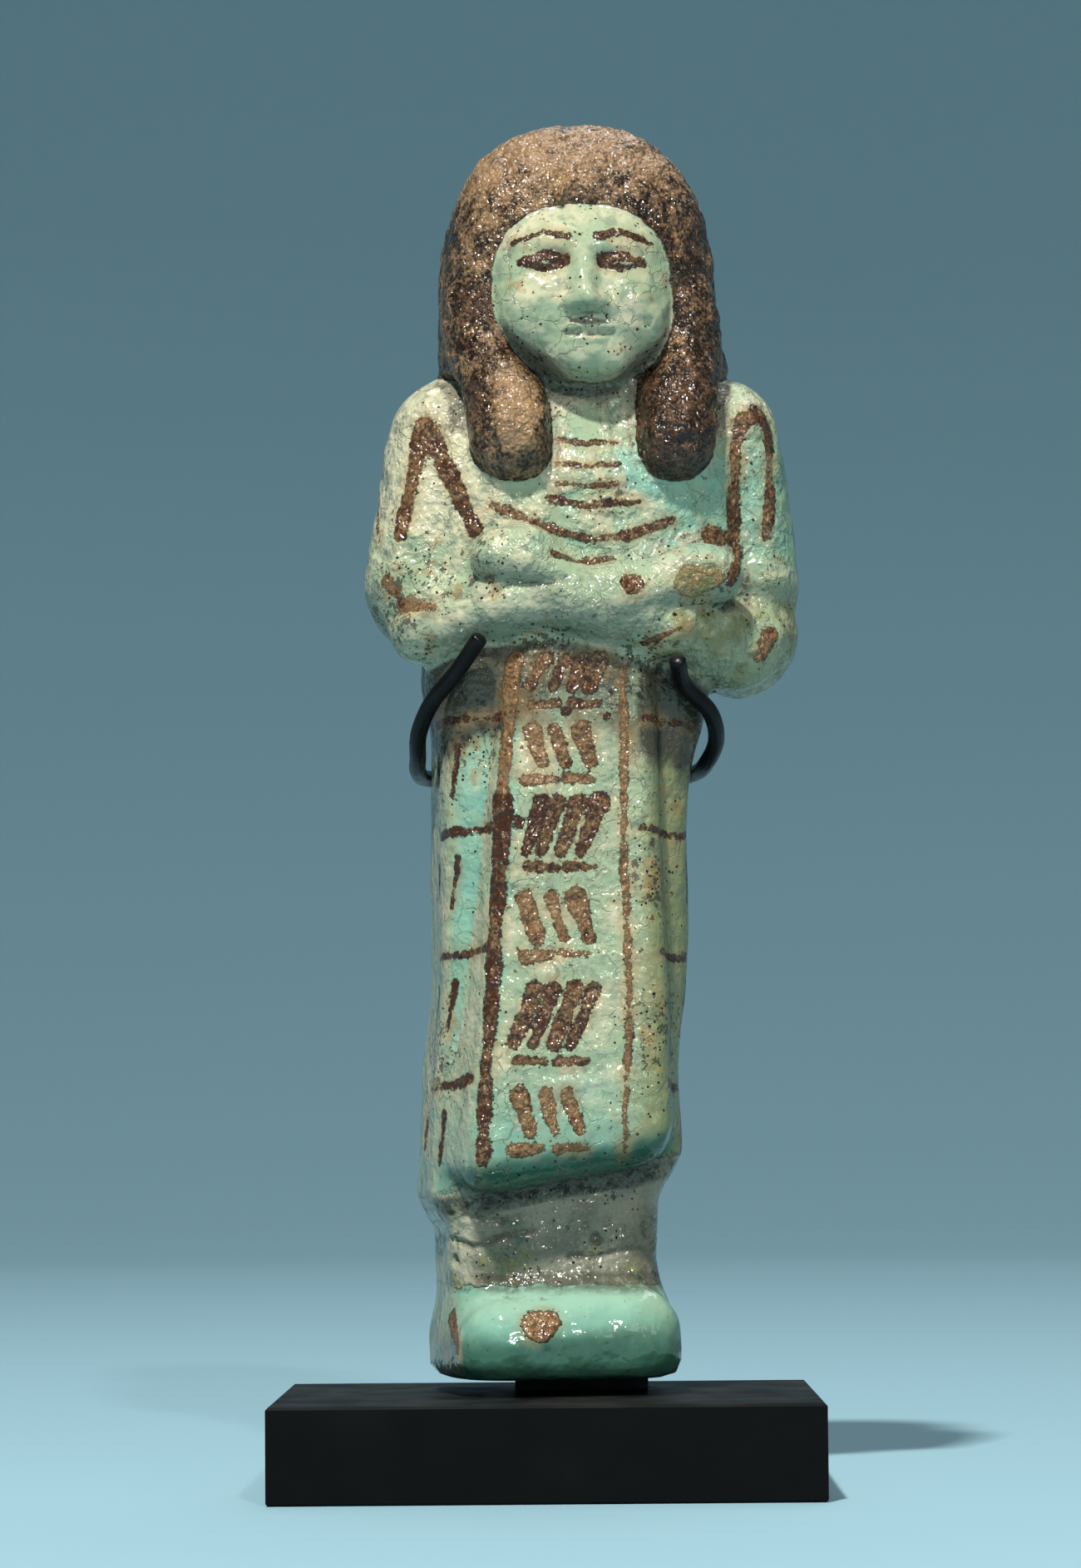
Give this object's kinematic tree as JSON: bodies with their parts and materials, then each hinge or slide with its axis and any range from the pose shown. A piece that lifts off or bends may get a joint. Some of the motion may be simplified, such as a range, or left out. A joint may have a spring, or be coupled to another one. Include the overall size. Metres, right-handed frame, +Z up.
{
  "type": "ushabti figurine on a display stand",
  "caption": "Faience ushabti with long wig, crossed arms and flared kilt apron, held round the waist by a wire cradle on a low black block.",
  "frame": {"origin": "middle of the stand block's underside", "axes": "+Z up, the figure faces -Y, +X to the viewer's right"},
  "size_m": [0.06, 0.048, 0.1555],
  "materials": {
    "glazed_faience": "crazed pale turquoise glaze, brown painted strokes",
    "black_wire": "satin black",
    "black_pad": "matt black",
    "black_block": "painted matt black"
  },
  "bodies": {
    "root": {"figurine": "glazed_faience", "wire_cradle": "black_wire", "rest_pad": "black_pad", "stand_block": "black_block"}
  },
  "joints": []
}
